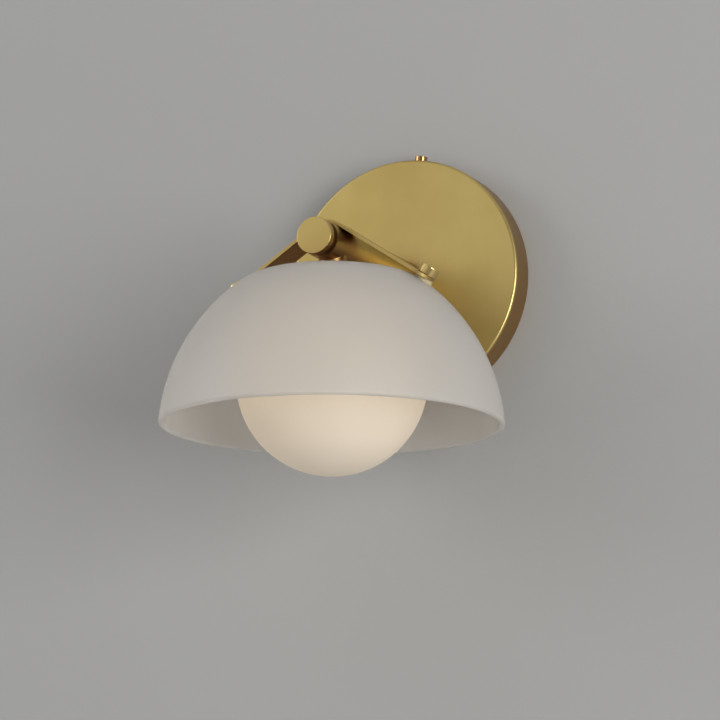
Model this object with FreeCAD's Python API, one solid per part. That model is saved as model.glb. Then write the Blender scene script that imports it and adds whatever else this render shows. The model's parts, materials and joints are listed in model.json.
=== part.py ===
import FreeCAD, Part
import math
import os

# Wall sconce with one arm: a round brass canopy on the wall, a straight arm tube, a flat
# brass strap bent over the arm that carries a frosted glass dome by two thumb nuts, and an
# opal glass globe on a holder under the arm.  Millimetres, +Z up.  The wall is the plane
# y = 0, the sconce reaches out along -Y, and the origin is the canopy's centre on the wall.

Vec = FreeCAD.Vector
X_AXIS = Vec(1, 0, 0)
Y_AXIS = Vec(0, 1, 0)
Z_AXIS = Vec(0, 0, 1)
ORIGIN = Vec(0, 0, 0)

# ---- driving dimensions -------------------------------------------------------------
# canopy, the drum that covers the outlet box
CANOPY_R = 63.5
CANOPY_DEPTH = 16.0
CANOPY_WALL = 1.2
CANOPY_EDGE_R = 1.3

# mounting plate, screwed to the outlet box behind the canopy
PLATE_R = 54.0
PLATE_T = 1.6
PLATE_WIRE_HOLE_R = 14.0
BOX_SLOT_SPACING = 79.4
BOX_SLOT_LENGTH = 14.0
BOX_SLOT_R = 2.3
TAB_WIDTH = 14.0
TAB_LENGTH = 12.0
TAB_BEND_R = 1.2
TAB_ROOT = 12.0
TAB_GAP = 0.4

# thumb screws through the canopy's side into the tabs
CANOPY_SCREW_TURN = 6.0
CANOPY_SCREW_FROM_WALL = 8.0
CANOPY_SCREW_HEAD_R = 3.2
CANOPY_SCREW_HEAD_H = 3.4
CANOPY_SCREW_R = 2.0
CANOPY_SCREW_PAST_TAB = 3.0
CANOPY_SCREW_HOLE_R = 2.4

# green earth screw in the mounting plate
EARTH_SCREW_X = 26.0
EARTH_SCREW_R = 2.0
EARTH_HEAD_R = 4.2
EARTH_HEAD_H = 2.6
EARTH_FLANGE_R = 5.2
EARTH_FLANGE_T = 0.8

# hollow threaded tube (M10 x 1) that carries the wires through each joint
PIPE_R = 4.95
PIPE_BORE_R = 3.6
PIPE_NUT_FLATS = 14.0
PIPE_NUT_T = 3.0
LOCK_WASHER_R = 8.6
LOCK_WASHER_T = 1.0
LOCK_WASHER_TEETH = 12
PIPE_PAST_NUT = 1.5

# arm, a straight horizontal tube with an insert in each end
ARM_R = 9.5
ARM_WALL = 1.5
ARM_END_Y = 114.5
ARM_INSERT_L = 12.0
ARM_WIRE_HOLE_R = 3.6

# end cap, a round disc on a neck that stands off the tube
CAP_R = 9.3
CAP_T = 4.0
CAP_EDGE_R = 0.4
CAP_NECK_R = 6.5
CAP_NECK_L = 3.5
CAP_THREAD_R = 3.0
CAP_THREAD_L = 8.0

# strap, one flat bar bent over the arm, with a leg down each side
SHADE_Y = 100.0
STRAP_W = 17.0
STRAP_T = 1.5
STRAP_OFF_GLASS = 1.4
STRAP_STUD_PAST_SHOULDER = 2.0
STRAP_TIP_PAST_STUD = 4.6
STRAP_HOLE_R = 2.25

# glass dome: a spherical wall that turns into a flat top through a round shoulder
SHADE_RIM_R = 84.6
SHADE_ARC_R = 97.0
SHADE_ARC_BELOW_RIM = 8.7
SHADE_DROP = 73.2
SHADE_SHOULDER_R = 24.0
SHADE_GLASS = 3.0
SHADE_CENTRE_HOLE_R = 5.6
SHADE_STUD_HOLE_R = 3.2

# short hub under the arm, and the flat gaskets over and under the glass
HUB_R = 7.0
HUB_BELOW_ARM = 5.9
GASKET_T = 1.0
TOP_GASKET_R = 7.6
INNER_GASKET_R = 12.0

# studs, washers and thumb nuts that hold the glass to the strap
STUD_R = 2.0
STUD_HEAD_R = 3.8
STUD_HEAD_H = 2.2
STUD_WASHER_R = 5.0
STUD_WASHER_T = 0.8
STUD_GASKET_R = 4.6
STUD_GASKET_T = 1.2
NUT_R = 4.8
NUT_H = 4.8
NUT_EDGE_R = 0.7
NUT_ROOF = 1.0
NUT_TIP_GAP = 0.4

# globe holder, a shallow cup whose thread takes the globe's neck
HOLDER_R = 24.0
HOLDER_WALL = 1.5
HOLDER_PLATE_T = 1.5
HOLDER_DEPTH = 6.3

# lamp holder on a small bracket, with a two-pin capsule lamp
BRACKET_T = 1.0
BRACKET_LEG_W = 8.0
LAMP_HOLDER_R = 9.0
LAMP_HOLDER_H = 17.0
LAMP_HOLDER_BELOW_NUT = 0.9
RIVET_R = 1.2
RIVET_HEAD_R = 2.0
RIVET_HEAD_T = 0.7
RIVET_DOWN = 4.0
PIN_SPACING = 9.0
PIN_R = 0.75
PIN_L = 10.0
PIN_FIT = 0.08
LAMP_BASE_W = 14.5
LAMP_BASE_D = 7.0
LAMP_BASE_H = 9.0
LAMP_GLASS_R = 7.5
LAMP_GLASS_L = 32.0

# opal globe with a short neck
GLOBE_R = 47.0
GLOBE_GLASS = 2.5
GLOBE_NECK_R = 22.4
GLOBE_NECK_L = 4.9
GLOBE_TOP_GAP = 0.4

# clearances
SNUG = 0.05
TURNING_FIT = 0.06
THREAD_GAP = 0.05
FACE_GAP = 0.1

# ---- places worked out from the dimensions -------------------------------------------
ARM_START_Y = CANOPY_DEPTH
CAP_FACE_Y = ARM_END_Y + CAP_NECK_L + CAP_T
PIPE_HOLE_R = PIPE_R + THREAD_GAP
SHADE_TOP_Z = -(ARM_R + HUB_BELOW_ARM + GASKET_T)
SHADE_RIM_Z = SHADE_TOP_Z - SHADE_DROP
ARC_Z = SHADE_RIM_Z - SHADE_ARC_BELOW_RIM
ARC_X = SHADE_RIM_R - math.sqrt(SHADE_ARC_R ** 2 - SHADE_ARC_BELOW_RIM ** 2)
SHOULDER_Z = SHADE_TOP_Z - SHADE_SHOULDER_R
SHOULDER_X = ARC_X + math.sqrt((SHADE_ARC_R - SHADE_SHOULDER_R) ** 2 - (SHOULDER_Z - ARC_Z) ** 2)
SHOULDER_TURN = math.atan2(SHOULDER_X - ARC_X, SHOULDER_Z - ARC_Z)
HOLDER_TOP_Z = SHADE_TOP_Z - SHADE_GLASS - GASKET_T
HOLDER_INSIDE_Z = HOLDER_TOP_Z - HOLDER_PLATE_T
BRACKET_BOTTOM_Z = HOLDER_INSIDE_Z - BRACKET_T
PIPE_NUT_BOTTOM_Z = BRACKET_BOTTOM_Z - PIPE_NUT_T
PIPE_BOTTOM_Z = PIPE_NUT_BOTTOM_Z - PIPE_PAST_NUT
LAMP_HOLDER_TOP_Z = PIPE_BOTTOM_Z - LAMP_HOLDER_BELOW_NUT
LAMP_HOLDER_BOTTOM_Z = LAMP_HOLDER_TOP_Z - LAMP_HOLDER_H
GLOBE_NECK_TOP_Z = HOLDER_INSIDE_Z - GLOBE_TOP_GAP
GLOBE_Z = GLOBE_NECK_TOP_Z - GLOBE_NECK_L - math.sqrt(GLOBE_R ** 2 - GLOBE_NECK_R ** 2)
STRAP_INNER_R = ARM_R + SNUG
STRAP_OUTER_R = STRAP_INNER_R + STRAP_T
SIDES = {"left": -1, "right": 1}


def leg_slope():
    """Slope of the strap's legs.

    A leg leaves the arm and passes the dome's shoulder with the stated gap, or passes the
    dome's wall where the slope is steeper than the shoulder's last turn.
    """
    for x, z, radius in ((SHOULDER_X, SHOULDER_Z, SHADE_SHOULDER_R), (ARC_X, ARC_Z, SHADE_ARC_R)):
        reach = radius + STRAP_OFF_GLASS - STRAP_INNER_R
        slope = math.atan2(-x, -z) + math.acos(reach / math.hypot(x, z))
        if slope <= SHOULDER_TURN:
            break
    return slope


SLOPE = leg_slope()
SHOULDER_END_X = SHOULDER_X + SHADE_SHOULDER_R * math.sin(SHOULDER_TURN)
SHOULDER_END_Z = SHOULDER_Z + SHADE_SHOULDER_R * math.cos(SHOULDER_TURN)
SHOULDER_END_AT = SHOULDER_END_X * math.cos(SLOPE) - SHOULDER_END_Z * math.sin(SLOPE)
STRAP_STUD_AT = SHOULDER_END_AT + STRAP_STUD_PAST_SHOULDER


# ---- small helpers ---------------------------------------------------------------------
def cylinder(radius, height, base, direction=Z_AXIS):
    return Part.makeCylinder(radius, height, base, direction)


def ring(outer_r, inner_r, height, base, direction=Z_AXIS):
    """Flat ring that starts at base and grows along direction."""
    return cylinder(outer_r, height, base, direction).cut(cylinder(inner_r, height, base, direction))


def line(a, b):
    return Part.LineSegment(a, b).toShape()


def arc(a, middle, b):
    return Part.Arc(a, middle, b).toShape()


def revolved(edges, centre=ORIGIN, axis=Z_AXIS):
    """Solid of revolution of a closed outline of edges."""
    return Part.Face(Part.Wire(edges)).revolve(centre, axis, 360)


def polygon_prism(points, along):
    return Part.Face(Part.makePolygon(points + points[:1])).extrude(along)


def hex_prism(flats, height):
    corner_r = flats / math.sqrt(3)
    corners = [Vec(corner_r * math.cos(math.radians(60 * k)), corner_r * math.sin(math.radians(60 * k)), 0)
               for k in range(6)]
    return polygon_prism(corners, Vec(0, 0, height))


def hex_nut(flats, height, bore_r):
    """Hex nut on the XY plane with its corners turned down on both faces."""
    corner_r = flats / math.sqrt(3)
    turn = 0.9 * (corner_r - flats / 2)
    outline = [Vec(0, 0, 0), Vec(corner_r - turn, 0, 0), Vec(corner_r, 0, turn / 2),
               Vec(corner_r, 0, height - turn / 2), Vec(corner_r - turn, 0, height), Vec(0, 0, height)]
    edges = [line(a, b) for a, b in zip(outline, outline[1:] + outline[:1])]
    return hex_prism(flats, height).common(revolved(edges)).cut(cylinder(bore_r, height, ORIGIN))


def turned_to(shape, direction, place):
    """Moves a shape made along +Z at the origin so that it points along direction at place."""
    shape.Placement = FreeCAD.Placement(place, FreeCAD.Rotation(Z_AXIS, direction))
    return shape


def soft_edge_disc(radius, height, top_edge_r, bottom_edge_r=0.0):
    """Disc on the XY plane with rounded rims."""
    edges = [line(Vec(0, 0, 0), Vec(radius - bottom_edge_r, 0, 0))]
    if bottom_edge_r:
        k = bottom_edge_r * (1 - math.sqrt(0.5))
        edges.append(arc(Vec(radius - bottom_edge_r, 0, 0), Vec(radius - k, 0, k), Vec(radius, 0, bottom_edge_r)))
    k = top_edge_r * (1 - math.sqrt(0.5))
    edges.append(line(Vec(radius, 0, bottom_edge_r), Vec(radius, 0, height - top_edge_r)))
    edges.append(arc(Vec(radius, 0, height - top_edge_r), Vec(radius - k, 0, height - k),
                     Vec(radius - top_edge_r, 0, height)))
    edges.append(line(Vec(radius - top_edge_r, 0, height), Vec(0, 0, height)))
    edges.append(line(Vec(0, 0, height), Vec(0, 0, 0)))
    return revolved(edges)


# ---- canopy and what it hides ------------------------------------------------------------
def screw_direction(sign):
    """Outward direction of the canopy screw at the top (+1) or the bottom (-1)."""
    turn = math.radians(CANOPY_SCREW_TURN)
    return Vec(math.sin(turn), 0, math.cos(turn)) * sign


def screw_axis_at(sign, distance):
    return screw_direction(sign) * distance + Vec(0, -CANOPY_SCREW_FROM_WALL, 0)


def tab_face_distance():
    """How far out the tabs' outer faces lie, just inside the canopy's round wall."""
    inside_r = CANOPY_R - CANOPY_WALL
    return math.sqrt(inside_r ** 2 - (TAB_WIDTH / 2) ** 2) - TAB_GAP


def canopy():
    """Spun drum, open at the wall, with a rounded front edge and holes for pipe and screws."""
    toward_room = Vec(0, -1, 0)
    outer = turned_to(soft_edge_disc(CANOPY_R, CANOPY_DEPTH, CANOPY_EDGE_R), toward_room, ORIGIN)
    inner_edge_r = max(CANOPY_EDGE_R - CANOPY_WALL, 0.1)
    inner = soft_edge_disc(CANOPY_R - CANOPY_WALL, CANOPY_DEPTH - CANOPY_WALL, inner_edge_r)
    shell = outer.cut(turned_to(inner, toward_room, ORIGIN))
    shell = shell.cut(cylinder(PIPE_HOLE_R, CANOPY_DEPTH, Vec(0, -CANOPY_DEPTH, 0), Y_AXIS))
    for sign in (1, -1):
        start = screw_axis_at(sign, CANOPY_R - 3 * CANOPY_WALL)
        shell = shell.cut(cylinder(CANOPY_SCREW_HOLE_R, 4 * CANOPY_WALL, start, screw_direction(sign)))
    return shell


def box_slot(centre_z):
    """Upright slot through the mounting plate for an outlet box screw."""
    half = BOX_SLOT_LENGTH / 2 - BOX_SLOT_R
    slot = Part.makeBox(2 * BOX_SLOT_R, PLATE_T, 2 * half, Vec(-BOX_SLOT_R, -PLATE_T, centre_z - half))
    for end in (-half, half):
        slot = slot.fuse(cylinder(BOX_SLOT_R, PLATE_T, Vec(0, -PLATE_T, centre_z + end), Y_AXIS))
    return slot


def plate_tab():
    """Tab bent toward the room at the plate's top edge, before it is turned to its screw."""
    out = tab_face_distance()
    bend = TAB_BEND_R + PLATE_T
    tip = PLATE_T + TAB_LENGTH
    s = math.sqrt(0.5)
    x = -TAB_WIDTH / 2
    root = PLATE_R - TAB_ROOT
    outline = [
        line(Vec(x, 0, root), Vec(x, 0, out - bend)),
        arc(Vec(x, 0, out - bend), Vec(x, -bend * (1 - s), out - bend * (1 - s)), Vec(x, -bend, out)),
        line(Vec(x, -bend, out), Vec(x, -tip, out)),
        line(Vec(x, -tip, out), Vec(x, -tip, out - PLATE_T)),
        line(Vec(x, -tip, out - PLATE_T), Vec(x, -bend, out - PLATE_T)),
        arc(Vec(x, -bend, out - PLATE_T), Vec(x, -bend + TAB_BEND_R * s, out - bend + TAB_BEND_R * s),
            Vec(x, -PLATE_T, out - bend)),
        line(Vec(x, -PLATE_T, out - bend), Vec(x, -PLATE_T, root)),
        line(Vec(x, -PLATE_T, root), Vec(x, 0, root)),
    ]
    return Part.Face(Part.Wire(outline)).extrude(Vec(TAB_WIDTH, 0, 0))


def mounting_plate():
    """Round steel plate with a wire hole, two box slots, an earth hole and two tapped tabs."""
    plate = cylinder(PLATE_R, PLATE_T, Vec(0, -PLATE_T, 0), Y_AXIS)
    for sign in (1, -1):
        tab = plate_tab()
        tab.rotate(ORIGIN, Y_AXIS, CANOPY_SCREW_TURN + (0 if sign > 0 else 180))
        plate = plate.fuse(tab)
    plate = plate.removeSplitter()
    plate = plate.cut(cylinder(PLATE_WIRE_HOLE_R, PLATE_T, Vec(0, -PLATE_T, 0), Y_AXIS))
    for sign in (1, -1):
        plate = plate.cut(box_slot(sign * BOX_SLOT_SPACING / 2))
        start = screw_axis_at(sign, tab_face_distance() - 2 * PLATE_T)
        plate = plate.cut(cylinder(CANOPY_SCREW_R + TURNING_FIT, 3 * PLATE_T, start, screw_direction(sign)))
    return plate.cut(cylinder(EARTH_SCREW_R + THREAD_GAP, PLATE_T, Vec(EARTH_SCREW_X, -PLATE_T, 0), Y_AXIS))


def earth_screw():
    """Flanged hex screw whose shank ends flush with the back of the plate."""
    start = Vec(EARTH_SCREW_X, 0, 0)
    toward_room = Vec(0, -1, 0)
    shank = cylinder(EARTH_SCREW_R, PLATE_T, start, toward_room)
    flange = cylinder(EARTH_FLANGE_R, EARTH_FLANGE_T, start + toward_room * PLATE_T, toward_room)
    head = hex_prism(EARTH_HEAD_R * math.sqrt(3), EARTH_HEAD_H)
    head = turned_to(head, toward_room, start + toward_room * (PLATE_T + EARTH_FLANGE_T))
    return shank.fuse(flange).fuse(head)


def canopy_screw(sign):
    """Thumb screw: a plain round head on the canopy's side and a shank through the tab."""
    direction = screw_direction(sign)
    seat = CANOPY_R + SNUG
    tip = tab_face_distance() - PLATE_T - CANOPY_SCREW_PAST_TAB
    shank = cylinder(CANOPY_SCREW_R, seat - tip, screw_axis_at(sign, tip), direction)
    head = soft_edge_disc(CANOPY_SCREW_HEAD_R, CANOPY_SCREW_HEAD_H, NUT_EDGE_R / 2)
    return shank.fuse(turned_to(head, direction, screw_axis_at(sign, seat)))


def lock_washer():
    """Toothed washer between the canopy and the pipe nut."""
    washer = ring(LOCK_WASHER_R, PIPE_HOLE_R, LOCK_WASHER_T, ORIGIN)
    notch_r = math.pi * LOCK_WASHER_R / LOCK_WASHER_TEETH / 2
    for k in range(LOCK_WASHER_TEETH):
        angle = 2 * math.pi * k / LOCK_WASHER_TEETH
        place = Vec(LOCK_WASHER_R * math.cos(angle), LOCK_WASHER_R * math.sin(angle), 0)
        washer = washer.cut(cylinder(notch_r, LOCK_WASHER_T, place))
    return turned_to(washer, Y_AXIS, Vec(0, -(CANOPY_DEPTH - CANOPY_WALL), 0))


def canopy_nut():
    nut = hex_nut(PIPE_NUT_FLATS, PIPE_NUT_T, PIPE_HOLE_R)
    return turned_to(nut, Y_AXIS, Vec(0, -(CANOPY_DEPTH - CANOPY_WALL - LOCK_WASHER_T), 0))


def canopy_pipe():
    """Threaded pipe from behind the nut, through the canopy, into the arm's insert."""
    wall_end = CANOPY_DEPTH - CANOPY_WALL - LOCK_WASHER_T - PIPE_NUT_T - PIPE_PAST_NUT
    room_end = ARM_START_Y + ARM_INSERT_L - 2 * FACE_GAP
    return ring(PIPE_R, PIPE_BORE_R, room_end - wall_end, Vec(0, -room_end, 0), Y_AXIS)


# ---- arm ------------------------------------------------------------------------------------
def arm_tube():
    tube = ring(ARM_R, ARM_R - ARM_WALL, ARM_END_Y - ARM_START_Y, Vec(0, -ARM_END_Y, 0), Y_AXIS)
    return tube.cut(cylinder(ARM_WIRE_HOLE_R, ARM_R, Vec(0, -SHADE_Y, -ARM_R)))


def arm_insert(front_y, bore_r):
    """Plug brazed into the tube from front_y back toward the wall, with a threaded bore."""
    return ring(ARM_R - ARM_WALL - SNUG, bore_r, ARM_INSERT_L, Vec(0, -front_y, 0), Y_AXIS)


def arm_base_insert():
    return arm_insert(ARM_START_Y + ARM_INSERT_L, PIPE_HOLE_R)


def arm_end_insert():
    return arm_insert(ARM_END_Y, CAP_THREAD_R + TURNING_FIT)


def arm_end_cap():
    """Round disc, its narrower neck, and the thread that screws into the arm's end."""
    toward_room = Vec(0, -1, 0)
    disc = soft_edge_disc(CAP_R, CAP_T, CAP_EDGE_R, CAP_EDGE_R)
    disc = turned_to(disc, toward_room, Vec(0, -(CAP_FACE_Y - CAP_T), 0))
    neck = cylinder(CAP_NECK_R, CAP_NECK_L - FACE_GAP, Vec(0, -(ARM_END_Y + FACE_GAP), 0), toward_room)
    thread = cylinder(CAP_THREAD_R, CAP_THREAD_L, Vec(0, -(ARM_END_Y + FACE_GAP), 0), Y_AXIS)
    return disc.fuse(neck).fuse(thread)


def arm_hub():
    """Short round hub brazed under the arm, tapped for the lower pipe."""
    bottom_z = SHADE_TOP_Z + GASKET_T
    hub = ring(HUB_R, PIPE_HOLE_R, -bottom_z, Vec(0, -SHADE_Y, bottom_z))
    return hub.cut(cylinder(ARM_R + SNUG, 4 * HUB_R, Vec(0, -SHADE_Y - 2 * HUB_R, 0), Y_AXIS))


# ---- strap and shade ---------------------------------------------------------------------------
def leg_point(along, height, side):
    """Point on a leg: along it from the bend, and at a height square to it from the arm's axis."""
    x = height * math.sin(SLOPE) + along * math.cos(SLOPE)
    z = height * math.cos(SLOPE) - along * math.sin(SLOPE)
    return Vec(side * x, -SHADE_Y, z)


def leg_normal(side):
    return Vec(side * math.sin(SLOPE), 0, math.cos(SLOPE))


def strap_leg(side):
    """Flat leg with a round end and a hole for the stud."""
    half = STRAP_W / 2
    round_at = STRAP_STUD_AT + STRAP_TIP_PAST_STUD - half
    across = Vec(0, half, 0)
    start = leg_point(0, STRAP_INNER_R, side)
    bend = leg_point(round_at, STRAP_INNER_R, side)
    tip = leg_point(round_at + half, STRAP_INNER_R, side)
    outline = [line(start - across, bend - across), arc(bend - across, tip, bend + across),
               line(bend + across, start + across), line(start + across, start - across)]
    leg = Part.Face(Part.Wire(outline)).extrude(leg_normal(side) * STRAP_T)
    hole_start = leg_point(STRAP_STUD_AT, STRAP_INNER_R, side)
    return leg.cut(cylinder(STRAP_HOLE_R, STRAP_T, hole_start, leg_normal(side)))


def strap():
    """Bar bent over the arm: a round saddle between two straight legs."""
    half = Vec(0, STRAP_W / 2, 0)
    inner = [leg_point(0, STRAP_INNER_R, side) - half for side in (-1, 1)]
    outer = [leg_point(0, STRAP_OUTER_R, side) - half for side in (-1, 1)]
    crown = Vec(0, -SHADE_Y, 0) - half
    outline = [arc(inner[0], crown + Z_AXIS * STRAP_INNER_R, inner[1]), line(inner[1], outer[1]),
               arc(outer[1], crown + Z_AXIS * STRAP_OUTER_R, outer[0]), line(outer[0], inner[0])]
    saddle = Part.Face(Part.Wire(outline)).extrude(Vec(0, STRAP_W, 0))
    return saddle.fuse(strap_leg(-1)).fuse(strap_leg(1)).removeSplitter()


def shade_profile(depth):
    """Points of the dome's section at a depth below its outer face, from the rim to the axis.

    The wall is an arc whose centre lies past the axis, and the shoulder is an arc that
    touches both the wall and the flat top.  Both keep their centres at every depth.
    """
    wall_r = SHADE_ARC_R - depth
    shoulder_r = SHADE_SHOULDER_R - depth
    low = math.asin(SHADE_ARC_BELOW_RIM / SHADE_ARC_R)
    high = math.pi / 2 - SHOULDER_TURN

    def on_wall(angle):
        return Vec(ARC_X + wall_r * math.cos(angle), 0, ARC_Z + wall_r * math.sin(angle))

    def on_shoulder(angle):
        return Vec(SHOULDER_X + shoulder_r * math.cos(angle), 0, SHOULDER_Z + shoulder_r * math.sin(angle))

    return {
        "rim": on_wall(low),
        "wall": on_wall((low + high) / 2),
        "turn": on_wall(high),
        "shoulder": on_shoulder((high + math.pi / 2) / 2),
        "flat": on_shoulder(math.pi / 2),
        "axis": Vec(0, 0, SHADE_TOP_Z - depth),
    }


def shade_body(grown=0.0):
    """The dome without its holes.  grown thickens the glass on both faces, for cutting gaskets."""
    outer = shade_profile(-grown)
    inner = shade_profile(SHADE_GLASS + grown)
    low = math.asin(SHADE_ARC_BELOW_RIM / SHADE_ARC_R)
    lip_r = (outer["rim"] - inner["rim"]).Length / 2
    lip = (outer["rim"] + inner["rim"]) * 0.5 + Vec(math.sin(low), 0, -math.cos(low)) * lip_r
    edges = [
        line(outer["axis"], outer["flat"]),
        arc(outer["flat"], outer["shoulder"], outer["turn"]),
        arc(outer["turn"], outer["wall"], outer["rim"]),
        arc(outer["rim"], lip, inner["rim"]),
        arc(inner["rim"], inner["wall"], inner["turn"]),
        arc(inner["turn"], inner["shoulder"], inner["flat"]),
        line(inner["flat"], inner["axis"]),
        line(inner["axis"], outer["axis"]),
    ]
    dome = revolved(edges)
    dome.translate(Vec(0, -SHADE_Y, 0))
    return dome


def shade():
    """Frosted dome with a centre hole for the pipe and a hole for each stud."""
    dome = shade_body()
    dome = dome.cut(cylinder(SHADE_CENTRE_HOLE_R, 4 * SHADE_GLASS, Vec(0, -SHADE_Y, SHADE_TOP_Z - 3 * SHADE_GLASS)))
    for side in SIDES.values():
        start = leg_point(STRAP_STUD_AT, STRAP_INNER_R, side) - leg_normal(side) * 5 * SHADE_GLASS
        dome = dome.cut(cylinder(SHADE_STUD_HOLE_R, 5 * SHADE_GLASS, start, leg_normal(side)))
    return dome


def wall_height(depth):
    """Height, square to the leg, at which the stud's line crosses the dome at this depth."""
    foot = leg_point(STRAP_STUD_AT, 0, 1)
    across = foot.x - ARC_X
    up = foot.z - ARC_Z
    half_b = across * math.sin(SLOPE) + up * math.cos(SLOPE)
    return -half_b + math.sqrt(half_b ** 2 - across ** 2 - up ** 2 + (SHADE_ARC_R - depth) ** 2)


def inner_gasket_bottom():
    return wall_height(SHADE_GLASS) - STUD_GASKET_T


def stud_ring(outer_r, bottom, top, side):
    """Ring round the stud between two heights square to the leg."""
    start = leg_point(STRAP_STUD_AT, bottom, side)
    return ring(outer_r, STUD_R + THREAD_GAP, top - bottom, start, leg_normal(side))


def stud_gasket_outer(side):
    """Soft washer that fills the wedge between the strap's leg and the glass."""
    return stud_ring(STUD_GASKET_R, wall_height(SHADE_GLASS / 2), STRAP_INNER_R, side).cut(shade_body(SNUG))


def stud_gasket_inner(side):
    """Soft washer between the glass and the steel washer, shaped by the glass."""
    bottom = inner_gasket_bottom()
    return stud_ring(STUD_GASKET_R, bottom, wall_height(SHADE_GLASS / 2), side).cut(shade_body(SNUG))


def stud_washer(side):
    top = inner_gasket_bottom()
    return stud_ring(STUD_WASHER_R, top - STUD_WASHER_T, top, side)


def shade_stud(side):
    """Screw with a round head inside the dome, up through glass and strap into the nut."""
    seat = inner_gasket_bottom() - STUD_WASHER_T
    tip = STRAP_OUTER_R + NUT_H - NUT_ROOF - NUT_TIP_GAP
    shank = cylinder(STUD_R, tip - seat, leg_point(STRAP_STUD_AT, seat, side), leg_normal(side))
    head = soft_edge_disc(STUD_HEAD_R, STUD_HEAD_H, STUD_HEAD_H / 2)
    head = turned_to(head, leg_normal(side) * -1, leg_point(STRAP_STUD_AT, seat, side))
    return shank.fuse(head)


def shade_nut(side):
    """Plain round thumb nut, closed at the top."""
    body = soft_edge_disc(NUT_R, NUT_H, NUT_EDGE_R, NUT_EDGE_R / 2)
    body = body.cut(cylinder(STUD_R + TURNING_FIT, NUT_H - NUT_ROOF, ORIGIN))
    return turned_to(body, leg_normal(side), leg_point(STRAP_STUD_AT, STRAP_OUTER_R + SNUG, side))


# ---- pipe, holder, lamp and globe on the shade's axis ---------------------------------------------
def on_axis(z):
    return Vec(0, -SHADE_Y, z)


def top_gasket():
    return ring(TOP_GASKET_R, PIPE_HOLE_R, GASKET_T, on_axis(SHADE_TOP_Z))


def inner_gasket():
    return ring(INNER_GASKET_R, PIPE_HOLE_R, GASKET_T, on_axis(HOLDER_TOP_Z))


def hub_pipe():
    """Threaded pipe from the hub, through glass, holder and bracket, to past the nut."""
    top_z = -ARM_R - FACE_GAP
    return ring(PIPE_R, PIPE_BORE_R, top_z - PIPE_BOTTOM_Z, on_axis(PIPE_BOTTOM_Z))


def globe_holder():
    """Shallow cup whose threaded wall takes the globe's neck."""
    bottom_z = HOLDER_TOP_Z - HOLDER_DEPTH
    inside_r = GLOBE_NECK_R + TURNING_FIT
    cup = turned_to(soft_edge_disc(HOLDER_R, HOLDER_DEPTH, HOLDER_WALL / 2), Z_AXIS, on_axis(bottom_z))
    cup = cup.cut(cylinder(inside_r, HOLDER_DEPTH - HOLDER_PLATE_T, on_axis(bottom_z)))
    return cup.cut(cylinder(PIPE_HOLE_R, HOLDER_DEPTH, on_axis(bottom_z)))


def lamp_bracket():
    """Steel bridge under the holder, with two legs that grip the lamp holder."""
    leg_x = LAMP_HOLDER_R + SNUG
    leg_bottom = LAMP_HOLDER_TOP_Z - RIVET_DOWN - BRACKET_LEG_W / 2
    bridge = Part.makeBox(2 * (leg_x + BRACKET_T), BRACKET_LEG_W, BRACKET_T,
                          Vec(-leg_x - BRACKET_T, -SHADE_Y - BRACKET_LEG_W / 2, BRACKET_BOTTOM_Z))
    bridge = bridge.fuse(cylinder(LAMP_HOLDER_R, BRACKET_T, on_axis(BRACKET_BOTTOM_Z)))
    for side in SIDES.values():
        corner_x = leg_x if side > 0 else -leg_x - BRACKET_T
        leg = Part.makeBox(BRACKET_T, BRACKET_LEG_W, HOLDER_INSIDE_Z - leg_bottom,
                           Vec(corner_x, -SHADE_Y - BRACKET_LEG_W / 2, leg_bottom))
        bridge = bridge.fuse(leg)
    bridge = bridge.removeSplitter().cut(cylinder(PIPE_HOLE_R, BRACKET_T, on_axis(BRACKET_BOTTOM_Z)))
    return bridge.cut(rivet_line(RIVET_R + THREAD_GAP))


def rivet_line(radius):
    """Cross cylinder where the rivets pass from side to side."""
    half = LAMP_HOLDER_R + SNUG + BRACKET_T
    place = Vec(-half, -SHADE_Y, LAMP_HOLDER_TOP_Z - RIVET_DOWN)
    return cylinder(radius, 2 * half, place, X_AXIS)


def holder_rivet():
    """Rivet through both legs of the bracket and the lamp holder."""
    half = LAMP_HOLDER_R + SNUG + BRACKET_T
    rivet = rivet_line(RIVET_R)
    for side in SIDES.values():
        place = Vec(side * half, -SHADE_Y, LAMP_HOLDER_TOP_Z - RIVET_DOWN)
        head = turned_to(soft_edge_disc(RIVET_HEAD_R, RIVET_HEAD_T, RIVET_HEAD_T / 2), X_AXIS * side, place)
        rivet = rivet.fuse(head)
    return rivet


def holder_nut():
    """Pipe nut that clamps bracket, holder, gaskets and glass up against the hub."""
    return turned_to(hex_nut(PIPE_NUT_FLATS, PIPE_NUT_T, PIPE_HOLE_R), Z_AXIS, on_axis(PIPE_NUT_BOTTOM_Z))


def lamp_holder():
    """Ceramic body with two pin holes from below and a hole for the rivet."""
    body = turned_to(soft_edge_disc(LAMP_HOLDER_R, LAMP_HOLDER_H, 1.0, 1.0), Z_AXIS, on_axis(LAMP_HOLDER_BOTTOM_Z))
    body = body.cut(rivet_line(RIVET_R + THREAD_GAP))
    for side in SIDES.values():
        start = Vec(side * PIN_SPACING / 2, -SHADE_Y, LAMP_HOLDER_BOTTOM_Z)
        body = body.cut(cylinder(PIN_R + PIN_FIT, PIN_L + FACE_GAP * 5, start))
    return body


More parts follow.
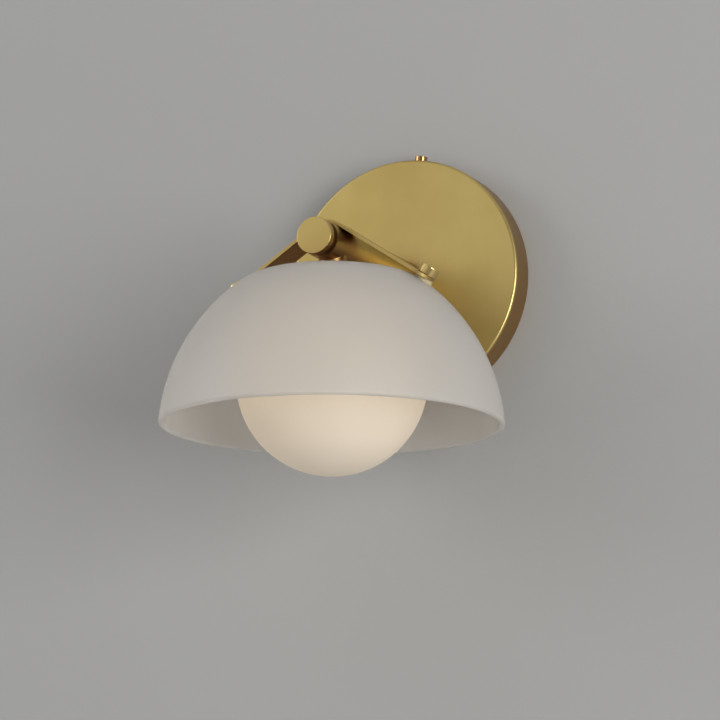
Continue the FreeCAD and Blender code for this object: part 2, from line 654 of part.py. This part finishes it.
def lamp():
    """Capsule lamp: two pins, a flat pinched base and a round-ended glass."""
    top_z = LAMP_HOLDER_BOTTOM_Z - FACE_GAP
    base_z = top_z - LAMP_BASE_H
    base = Part.makeBox(LAMP_BASE_W, LAMP_BASE_D, LAMP_BASE_H,
                        Vec(-LAMP_BASE_W / 2, -SHADE_Y - LAMP_BASE_D / 2, base_z))
    straight = LAMP_GLASS_L - LAMP_GLASS_R
    glass = cylinder(LAMP_GLASS_R, straight, on_axis(base_z - straight))
    tip = Part.makeSphere(LAMP_GLASS_R, on_axis(base_z - straight))
    body = base.fuse(glass.fuse(tip).removeSplitter())
    for side in SIDES.values():
        body = body.fuse(cylinder(PIN_R, PIN_L, Vec(side * PIN_SPACING / 2, -SHADE_Y, top_z)))
    return body


def globe():
    """Opal globe whose short neck is blown from the same glass."""
    centre = on_axis(GLOBE_Z)
    neck_reach = GLOBE_NECK_TOP_Z - GLOBE_Z
    inner_neck_r = GLOBE_NECK_R - GLOBE_GLASS
    outer = Part.makeSphere(GLOBE_R, centre)
    outer = outer.fuse(cylinder(GLOBE_NECK_R, neck_reach, centre))
    inner = Part.makeSphere(GLOBE_R - GLOBE_GLASS, centre)
    inner = inner.fuse(cylinder(inner_neck_r, neck_reach, centre))
    outside_top = cylinder(2 * GLOBE_R, GLOBE_R, on_axis(GLOBE_NECK_TOP_Z))
    return outer.cut(outside_top).cut(inner)


# ---- all the nodes ------------------------------------------------------------------------------------
def pieces():
    nodes = {
        "canopy": canopy(),
        "mounting_plate": mounting_plate(),
        "earth_screw": earth_screw(),
        "canopy_screw_top": canopy_screw(1),
        "canopy_screw_bottom": canopy_screw(-1),
        "canopy_lock_washer": lock_washer(),
        "canopy_nut": canopy_nut(),
        "canopy_pipe": canopy_pipe(),
        "arm_tube": arm_tube(),
        "arm_base_insert": arm_base_insert(),
        "arm_end_insert": arm_end_insert(),
        "arm_end_cap": arm_end_cap(),
        "arm_hub": arm_hub(),
        "strap": strap(),
        "shade": shade(),
        "shade_top_gasket": top_gasket(),
        "shade_inner_gasket": inner_gasket(),
        "hub_pipe": hub_pipe(),
        "globe_holder": globe_holder(),
        "lamp_bracket": lamp_bracket(),
        "holder_nut": holder_nut(),
        "holder_rivet": holder_rivet(),
        "lamp_holder": lamp_holder(),
        "lamp": lamp(),
        "globe": globe(),
    }
    for name, side in SIDES.items():
        nodes["stud_gasket_outer_" + name] = stud_gasket_outer(side)
        nodes["stud_gasket_inner_" + name] = stud_gasket_inner(side)
        nodes["stud_washer_" + name] = stud_washer(side)
        nodes["shade_stud_" + name] = shade_stud(side)
        nodes["shade_nut_" + name] = shade_nut(side)
    return nodes


def main():
    os.makedirs("parts", exist_ok=True)
    for name, shape in pieces().items():
        if len(shape.Solids) != 1 or not shape.isValid():
            raise ValueError(name + " is not one valid solid")
        shape.Solids[0].exportStep("parts/" + name + ".step")
        print(name, round(shape.Volume, 1), "mm3")


main()
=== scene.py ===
"""Looks of the wall sconce: its materials, the wall behind it, the light and the camera."""
import json
import math

import bmesh
import bpy
from mathutils import Matrix, Vector


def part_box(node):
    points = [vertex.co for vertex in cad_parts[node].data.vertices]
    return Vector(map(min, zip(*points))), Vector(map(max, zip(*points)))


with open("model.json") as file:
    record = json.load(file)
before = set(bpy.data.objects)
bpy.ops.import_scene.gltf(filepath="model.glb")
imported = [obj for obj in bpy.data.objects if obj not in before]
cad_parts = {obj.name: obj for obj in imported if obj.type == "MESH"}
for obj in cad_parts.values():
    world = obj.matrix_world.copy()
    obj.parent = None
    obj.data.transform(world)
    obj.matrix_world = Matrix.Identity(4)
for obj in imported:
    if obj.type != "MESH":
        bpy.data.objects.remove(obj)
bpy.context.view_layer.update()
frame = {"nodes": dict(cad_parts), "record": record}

MM = 0.001
EVEN = (1.0, 1.0, 1.0)

# ---- camera, at the photograph's place ------------------------------------------------
CAMERA_AT = Vector((0.662, -1.488, -0.369))
CAMERA_YAW = math.radians(24.99)
CAMERA_PITCH = math.radians(11.43)
CAMERA_ROLL = math.radians(0.33)
CAMERA_LENS_MM = 160.0
CAMERA_SENSOR_MM = 36.0

# ---- wall and floor -------------------------------------------------------------------
WALL_GAP = 0.2 * MM
WALL_HALF_WIDTH = 2.6
WALL_TOP = 1.8
FLOOR_Z = -1.3
FLOOR_FRONT_Y = -3.2
COVE_R = 0.35
COVE_STEPS = 12
WALL_COLOUR = (0.398, 0.397, 0.391)
WALL_CLOUDING = 0.015
WALL_ROUGHNESS = 0.9

# ---- light: azimuth 0 is straight out of the wall -------------------------------------
LAMP_AIM = Vector((0.0, -0.08, -0.04))
PANELS = {
    "key_panel": {"azimuth": -62.0, "elevation": 16.0, "distance": 2.4, "size": 0.9, "power": 11.5},
    "right_panel": {"azimuth": 56.0, "elevation": -4.0, "distance": 2.6, "size": 1.4, "power": 42.0},
}
ROOM_COLOUR = (1.0, 0.99, 0.97, 1.0)
ROOM_BELOW = 0.86
ROOM_ABOVE = 0.63
DARK_SIDE = (0.55, -0.80, 0.24)
DARK_SIDE_STARTS = 0.55
DARK_SIDE_FULL = 0.95
DARK_SIDE_LEVEL = 0.35

# ---- brass: painted shade turns it browner where something stands close by and near the wall ---
SATIN_BRASS = (0.60, 0.460, 0.170)
SATIN_BRASS_DARK = (0.54, 0.395, 0.135)
SATIN_ROUGHNESS = 0.36
SATIN_BRUSHING = (1.0, 1.0, 0.06)
SATIN_BRUSH_DEPTH = 0.006 * MM
POLISHED_BRASS = (0.80, 0.62, 0.25)
POLISHED_BRASS_DARK = (0.68, 0.50, 0.18)
POLISHED_ROUGHNESS = 0.13
POLISHED_BRUSHING = (1.0, 1.0, 0.3)
POLISHED_BRUSH_DEPTH = 0.002 * MM
# painted shade: the dark brass tone times this tint is painted into corners and gaps where something
# stands within this reach
PAINTED_SHADE_TINT = (0.58, 0.40, 0.42)
PAINTED_SHADE_REACH = 22.0 * MM
# painted reflection of the shaded wall: brass closer to the wall than these distances is browned
WALL_SHADE_LEVEL = 0.25
WALL_SHADE_FROM_Y = -15.5 * MM
WALL_SHADE_FULL_Y = -13.5 * MM
BRASS_EDGE_R = 0.5 * MM
BRASS_EDGE_LEVEL = 0.45
BRASS_EDGE_PALER = 1.18

# ---- steel ----------------------------------------------------------------------------
ZINC = (0.62, 0.63, 0.645)
ZINC_DARK = (0.47, 0.485, 0.51)
ZINC_EDGE = (0.78, 0.78, 0.78, 1.0)
ZINC_EDGE_R = 0.4 * MM
ZINC_EDGE_LEVEL = 0.5
ZINC_SPANGLE_SHARE = 0.35
ZINC_GRAIN_DEPTH = 0.02 * MM

# ---- glass ----------------------------------------------------------------------------
FROSTED_WHITE = (0.80, 0.777, 0.747)
FROSTED_SHADE = (0.77, 0.747, 0.713)
FROSTED_TOOTH_DEPTH = 0.012 * MM
OPAL_WHITE = (0.63, 0.57, 0.49)
OPAL_SHADE = (0.60, 0.54, 0.455)
OPAL_TOOTH_DEPTH = 0.008 * MM
LAMP_GLOW = (1.0, 0.76, 0.50, 1.0)
GLOW_LOW = 0.17
GLOW_HIGH = 0.33
LAMP_LEVEL_SHARE = 0.55
CAPSULE_WHITE = (0.90, 0.89, 0.86)
CAPSULE_SHADE = (0.80, 0.78, 0.74)
CAPSULE_HAZE_DEPTH = 0.02 * MM

# ---- painted, moulded and fired surfaces ----------------------------------------------
DULL_EDGE_R = 0.35 * MM
DULL_EDGE_LEVEL = 0.7
DULL_ROUGHNESS_DRIFT = 0.06
DULL_FINISHES = {
    "green_screw": {
        "light": (0.07, 0.33, 0.14), "dark": (0.04, 0.22, 0.09), "rough": 0.32, "metallic": 0.5,
        "patch_scale": 300.0, "grain_scale": 1800.0, "grain_depth": 0.01 * MM, "edge": (0.55, 0.56, 0.52),
    },
    "white_metal": {
        "light": (0.74, 0.73, 0.70), "dark": (0.68, 0.67, 0.64), "rough": 0.42,
        "patch_scale": 40.0, "grain_scale": 900.0, "grain_depth": 0.03 * MM, "edge": (0.80, 0.79, 0.77),
    },
    "gasket": {
        "light": (0.56, 0.47, 0.27), "dark": (0.48, 0.39, 0.21), "rough": 0.50,
        "patch_scale": 120.0, "grain_scale": 1400.0, "grain_depth": 0.03 * MM,
    },
    "ceramic": {
        "light": (0.78, 0.75, 0.69), "dark": (0.70, 0.67, 0.61), "rough": 0.58,
        "patch_scale": 90.0, "grain_scale": 2200.0, "grain_depth": 0.02 * MM,
    },
}


# ---- small helpers; the owner of a node tree is a material or the world ---------------
def new_material(name, **settings):
    """A new material and its Principled shader; the settings go on the shader's own sockets."""
    material = bpy.data.materials.new(name)
    material.use_nodes = True
    shader = material.node_tree.nodes["Principled BSDF"]
    for socket, value in settings.items():
        shader.inputs[socket.replace("_", " ")].default_value = value
    return material, shader


def node(owner, kind, inputs=None, **settings):
    """A node with its settings, whose inputs are numbers or other nodes' outputs."""
    made = owner.node_tree.nodes.new(kind)
    for key, value in settings.items():
        setattr(made, key, value)
    for key, value in (inputs or {}).items():
        if isinstance(value, bpy.types.NodeSocket):
            link(owner, value, made.inputs[key])
        else:
            made.inputs[key].default_value = value
    return made


def link(owner, output, target):
    owner.node_tree.links.new(output, target)


def math_of(owner, operation, first, second):
    return node(owner, "ShaderNodeMath", {0: first, 1: second}, operation=operation).outputs["Value"]


def dot_of(owner, first, second):
    inputs = {0: first, 1: second}
    return node(owner, "ShaderNodeVectorMath", inputs, operation="DOT_PRODUCT").outputs["Value"]


def place(owner, stretch=EVEN):
    """The point in metres, stretched along each axis."""
    where = node(owner, "ShaderNodeTexCoord").outputs["Object"]
    return node(owner, "ShaderNodeMapping", {"Vector": where, "Scale": stretch}).outputs["Vector"]


def along(owner, vector, axis):
    return node(owner, "ShaderNodeSeparateXYZ", {"Vector": vector}).outputs[axis]


def noise(owner, scale, detail=4.0, roughness=0.55, stretch=EVEN):
    inputs = {"Vector": place(owner, stretch), "Scale": scale, "Detail": detail, "Roughness": roughness}
    return node(owner, "ShaderNodeTexNoise", inputs).outputs["Fac"]


def ramp(owner, factor, stops):
    """A colour ramp through two (position, colour) stops."""
    made = node(owner, "ShaderNodeValToRGB", {"Fac": factor})
    for element, (position, colour) in zip(made.color_ramp.elements, stops):
        element.position = position
        element.color = (*colour, 1.0)
    return made.outputs["Color"]


def between(owner, factor, low, high, from_low=0.3, from_high=0.7, **settings):
    """A number that runs from low to high as the factor runs over its range."""
    inputs = {"Value": factor, "From Min": from_low, "From Max": from_high, "To Min": low, "To Max": high}
    return node(owner, "ShaderNodeMapRange", inputs, **settings).outputs["Result"]


def blend_colour(owner, factor, first, second):
    inputs = {"Fac": factor, "Color1": first, "Color2": second}
    return node(owner, "ShaderNodeMixRGB", inputs).outputs["Color"]


def edge_mask(owner, radius, strength):
    """0 on open faces and up to the strength along worn outside edges, from the bevelled normal."""
    bevel = node(owner, "ShaderNodeBevel", {"Radius": radius}, samples=4)
    face = node(owner, "ShaderNodeNewGeometry")
    same = dot_of(owner, bevel.outputs["Normal"], face.outputs["Normal"])
    return between(owner, same, strength, 0.0, 0.80, 0.995)


def open_air(owner, reach):
    """1 on faces that look into open air and 0 where something stands close by; the brass uses it to
    paint shade in.
    """
    shelter = node(owner, "ShaderNodeAmbientOcclusion", {"Distance": reach}, samples=8)
    return between(owner, shelter.outputs["AO"], 0.0, 1.0, 0.30, 0.92)


def bump(owner, height, distance):
    return node(owner, "ShaderNodeBump", {"Height": height, "Distance": distance}).outputs["Normal"]


# ---- materials ------------------------------------------------------------------------
def brass(name, light, dark, rough, brush_stretch, brush_depth):
    """Plated brass: slow colour drift, fine brushing, paler edges, and painted shade that turns it
    browner in corners and by the wall.
    """
    material, shader = new_material(name, Metallic=1.0)
    drift = noise(material, 22.0, detail=3.0)
    brushing = noise(material, 900.0, detail=2.0, stretch=brush_stretch)
    colour = ramp(material, drift, [(0.32, dark), (0.62, light)])
    # painted reflection of the shaded wall: brass near the wall is browned by distance from the wall
    out_from_wall = along(material, place(material), "Y")
    wall_shade = between(material, out_from_wall, 1.0, WALL_SHADE_LEVEL, WALL_SHADE_FROM_Y, WALL_SHADE_FULL_Y)
    # painted shade: the brass colour turns browner where something stands close by and where it lies near
    # the wall
    unshaded = math_of(material, "MULTIPLY", open_air(material, PAINTED_SHADE_REACH), wall_shade)
    painted_shade_brown = tuple(channel * part for channel, part in zip(dark, PAINTED_SHADE_TINT))
    colour = blend_colour(material, unshaded, (*painted_shade_brown, 1.0), colour)
    worn = edge_mask(material, BRASS_EDGE_R, BRASS_EDGE_LEVEL)
    pale = tuple(min(1.0, channel * BRASS_EDGE_PALER) for channel in light)
    link(material, blend_colour(material, worn, colour, (*pale, 1.0)), shader.inputs["Base Color"])
    cloud = noise(material, 60.0, detail=2.0)
    streaks = math_of(material, "ADD", brushing, cloud)
    roughness = between(material, streaks, rough - 0.05, rough + 0.05, 0.75, 1.25)
    link(material, roughness, shader.inputs["Roughness"])
    link(material, bump(material, brushing, brush_depth), shader.inputs["Normal"])
    return material


def zinc_steel(name):
    """Zinc plated steel: a faint spangle, dull and bright patches, and rubbed edges."""
    material, shader = new_material(name, Metallic=1.0)
    spangle = node(material, "ShaderNodeTexVoronoi", {"Vector": place(material), "Scale": 420.0})
    patches = noise(material, 70.0)
    mixed = blend_colour(material, ZINC_SPANGLE_SHARE, patches, spangle.outputs["Color"])
    colour = ramp(material, mixed, [(0.25, ZINC_DARK), (0.70, ZINC)])
    worn = edge_mask(material, ZINC_EDGE_R, ZINC_EDGE_LEVEL)
    link(material, blend_colour(material, worn, colour, ZINC_EDGE), shader.inputs["Base Color"])
    link(material, between(material, patches, 0.30, 0.46), shader.inputs["Roughness"])
    grain = noise(material, 1600.0)
    link(material, bump(material, grain, ZINC_GRAIN_DEPTH), shader.inputs["Normal"])
    return material


def frosted_glass(name):
    """Acid-etched white glass: lets light through softly, with a very fine even tooth."""
    material, shader = new_material(name, Transmission_Weight=0.66, IOR=1.40)
    drift = noise(material, 9.0, detail=2.0)
    colour = ramp(material, drift, [(0.3, FROSTED_SHADE), (0.7, FROSTED_WHITE)])
    link(material, colour, shader.inputs["Base Color"])
    link(material, between(material, drift, 0.50, 0.58), shader.inputs["Roughness"])
    tooth = noise(material, 1800.0, detail=3.0, roughness=0.7)
    link(material, bump(material, tooth, FROSTED_TOOTH_DEPTH), shader.inputs["Normal"])
    return material


def opal_glass(name):
    """Opal globe with a satin skin, lit from inside: brightest level with the lamp."""
    material, shader = new_material(name, IOR=1.5, Emission_Color=LAMP_GLOW)
    drift = noise(material, 14.0, detail=2.0)
    colour = ramp(material, drift, [(0.3, OPAL_SHADE), (0.7, OPAL_WHITE)])
    link(material, colour, shader.inputs["Base Color"])
    globe_low, globe_high = (corner.z for corner in map(Vector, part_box("globe")))
    lamp_level = globe_low + LAMP_LEVEL_SHARE * (globe_high - globe_low)
    height = along(material, place(material), "Z")
    rise = between(material, height, GLOW_LOW, GLOW_HIGH, globe_low, lamp_level)
    uneven = between(material, drift, 0.96, 1.04)
    link(material, math_of(material, "MULTIPLY", rise, uneven), shader.inputs["Emission Strength"])
    link(material, between(material, drift, 0.36, 0.44), shader.inputs["Roughness"])
    tooth = noise(material, 1500.0, detail=3.0, roughness=0.7)
    link(material, bump(material, tooth, OPAL_TOOTH_DEPTH), shader.inputs["Normal"])
    return material


def lamp_glass(name):
    """Frosted capsule of the lamp, slightly smoky in streaks along its height."""
    material, shader = new_material(name, Transmission_Weight=0.6, IOR=1.46)
    haze = noise(material, 160.0, stretch=(1.0, 1.0, 0.3))
    colour = ramp(material, haze, [(0.3, CAPSULE_SHADE), (0.7, CAPSULE_WHITE)])
    link(material, colour, shader.inputs["Base Color"])
    link(material, between(material, haze, 0.22, 0.36), shader.inputs["Roughness"])
    link(material, bump(material, haze, CAPSULE_HAZE_DEPTH), shader.inputs["Normal"])
    return material


def dull(name, light, dark, rough, patch_scale, grain_scale, grain_depth, metallic=0.0, edge=None):
    """A painted, moulded or fired surface: two close tones, a fine grain, and edges where they wear."""
    material, shader = new_material(name, Metallic=metallic)
    patches = noise(material, patch_scale)
    colour = ramp(material, patches, [(0.3, dark), (0.7, light)])
    if edge is not None:
        worn = edge_mask(material, DULL_EDGE_R, DULL_EDGE_LEVEL)
        colour = blend_colour(material, worn, colour, (*edge, 1.0))
    link(material, colour, shader.inputs["Base Color"])
    roughness = between(material, patches, rough - DULL_ROUGHNESS_DRIFT, rough + DULL_ROUGHNESS_DRIFT)
    link(material, roughness, shader.inputs["Roughness"])
    grain = noise(material, grain_scale, detail=3.0)
    link(material, bump(material, grain, grain_depth), shader.inputs["Normal"])
    return material


def make_finishes():
    """One material for each slot of the record."""
    finishes = {
        "satin_brass": brass("satin_brass", SATIN_BRASS, SATIN_BRASS_DARK, SATIN_ROUGHNESS,
                             SATIN_BRUSHING, SATIN_BRUSH_DEPTH),
        "polished_brass": brass("polished_brass", POLISHED_BRASS, POLISHED_BRASS_DARK, POLISHED_ROUGHNESS,
                                POLISHED_BRUSHING, POLISHED_BRUSH_DEPTH),
        "zinc_steel": zinc_steel("zinc_steel"),
        "frosted_glass": frosted_glass("frosted_glass"),
        "opal_glass": opal_glass("opal_glass"),
        "lamp_glass": lamp_glass("lamp_glass"),
    }
    for name, look in DULL_FINISHES.items():
        finishes[name] = dull(name, **look)
    return finishes


def dress_nodes(finishes):
    """Each carried-over solid takes the material of its record slot."""
    for row in frame["record"]["subparts"]:
        solid = frame["nodes"][row["node"]]
        finish = finishes[row["material_slot"]]
        if not solid.material_slots:
            solid.data.materials.append(finish)
        for material_slot in solid.material_slots:
            material_slot.material = finish


# ---- stage ----------------------------------------------------------------------------
def sheet_profile():
    """The backdrop's (y, z) points: down the wall, through the cove and out along the floor."""
    profile = [(WALL_GAP, WALL_TOP)]
    for step in range(COVE_STEPS + 1):
        turn = math.radians(90.0 * step / COVE_STEPS)
        y = WALL_GAP - COVE_R * (1 - math.cos(turn))
        z = FLOOR_Z + COVE_R * (1 - math.sin(turn))
        profile.append((y, z))
    profile.append((FLOOR_FRONT_Y, FLOOR_Z))
    return profile


def wall_and_floor():
    """One pale sheet: the wall behind the canopy turns through a cove into the floor."""
    mesh = bpy.data.meshes.new("backdrop")
    sheet = bmesh.new()
    rows = []
    for y, z in sheet_profile():
        rows.append([sheet.verts.new((side, y, z)) for side in (-WALL_HALF_WIDTH, WALL_HALF_WIDTH)])
    for (left, right), (next_left, next_right) in zip(rows, rows[1:]):
        sheet.faces.new((left, right, next_right, next_left)).smooth = True
    bmesh.ops.recalc_face_normals(sheet, faces=sheet.faces)
    sheet.to_mesh(mesh)
    sheet.free()
    backdrop = bpy.data.objects.new("backdrop", mesh)
    bpy.context.scene.collection.objects.link(backdrop)
    backdrop.data.materials.append(wall_paint(mesh))
    backdrop.visible_shadow = False


def wall_paint(mesh):
    """Matt grey-white paint, seen only from the room's side so that the back can be looked at."""
    material, shader = new_material("wall_paint", Roughness=WALL_ROUGHNESS)
    cloud = noise(material, 3.0, detail=3.0)
    low = tuple(channel * (1.0 - WALL_CLOUDING) for channel in WALL_COLOUR)
    high = tuple(channel * (1.0 + WALL_CLOUDING) for channel in WALL_COLOUR)
    link(material, ramp(material, cloud, [(0.3, low), (0.7, high)]), shader.inputs["Base Color"])
    link(material, bump(material, noise(material, 500.0), 0.05 * MM), shader.inputs["Normal"])
    back = node(material, "ShaderNodeNewGeometry").outputs["Backfacing"]
    if mesh.polygons[0].normal.y > 0:
        back = math_of(material, "SUBTRACT", 1.0, back)
    clear = node(material, "ShaderNodeBsdfTransparent").outputs["BSDF"]
    mix = node(material, "ShaderNodeMixShader", {0: back, 1: shader.outputs["BSDF"], 2: clear})
    link(material, mix.outputs["Shader"], material.node_tree.nodes["Material Output"].inputs["Surface"])
    return material


def outward(azimuth, elevation):
    """The direction from the sconce at these angles in radians."""
    return Vector((math.sin(azimuth) * math.cos(elevation),
                   -math.cos(azimuth) * math.cos(elevation),
                   math.sin(elevation)))


def soft_panel(name, azimuth, elevation, distance, size, power):
    """A square soft panel that faces the sconce."""
    lamp = bpy.data.lights.new(name, "AREA")
    lamp.shape = "SQUARE"
    lamp.size = size
    lamp.energy = power
    out = outward(math.radians(azimuth), math.radians(elevation))
    panel = bpy.data.objects.new(name, lamp)
    panel.location = LAMP_AIM + out * distance
    panel.rotation_euler = out.to_track_quat("Z", "Y").to_euler()
    bpy.context.scene.collection.objects.link(panel)


def room_light():
    """An even room, brighter below, with one dimmer side out in front, right and above."""
    world = bpy.data.worlds.new("room")
    world.use_nodes = True
    background = world.node_tree.nodes["Background"]
    toward = node(world, "ShaderNodeTexCoord").outputs["Generated"]
    level = between(world, along(world, toward, "Z"), ROOM_BELOW, ROOM_ABOVE, -1.0, 1.0)
    dark_side = dot_of(world, toward, DARK_SIDE)
    fade = between(world, dark_side, 1.0, DARK_SIDE_LEVEL, DARK_SIDE_STARTS, DARK_SIDE_FULL,
                   interpolation_type="SMOOTHSTEP")
    link(world, math_of(world, "MULTIPLY", level, fade), background.inputs["Strength"])
    background.inputs["Color"].default_value = ROOM_COLOUR
    bpy.context.scene.world = world


def light_scene():
    room_light()
    for name, panel in PANELS.items():
        soft_panel(name, **panel)


# ---- camera ---------------------------------------------------------------------------
def add_camera():
    toward = outward(CAMERA_YAW, -CAMERA_PITCH)
    level = Vector((math.cos(CAMERA_YAW), math.sin(CAMERA_YAW), 0.0))
    upward = toward.cross(level)
    right = math.cos(CAMERA_ROLL) * level + math.sin(CAMERA_ROLL) * upward
    up = math.cos(CAMERA_ROLL) * upward - math.sin(CAMERA_ROLL) * level
    lens = bpy.data.cameras.new("camera")
    lens.lens = CAMERA_LENS_MM
    lens.sensor_width = CAMERA_SENSOR_MM
    camera = bpy.data.objects.new("camera", lens)
    turn = Matrix((right, up, toward)).transposed()
    camera.matrix_world = Matrix.Translation(CAMERA_AT) @ turn.to_4x4()
    bpy.context.scene.collection.objects.link(camera)
    bpy.context.scene.camera = camera


add_camera()
light_scene()
wall_and_floor()
dress_nodes(make_finishes())
bpy.context.scene.view_settings.view_transform = "Standard"
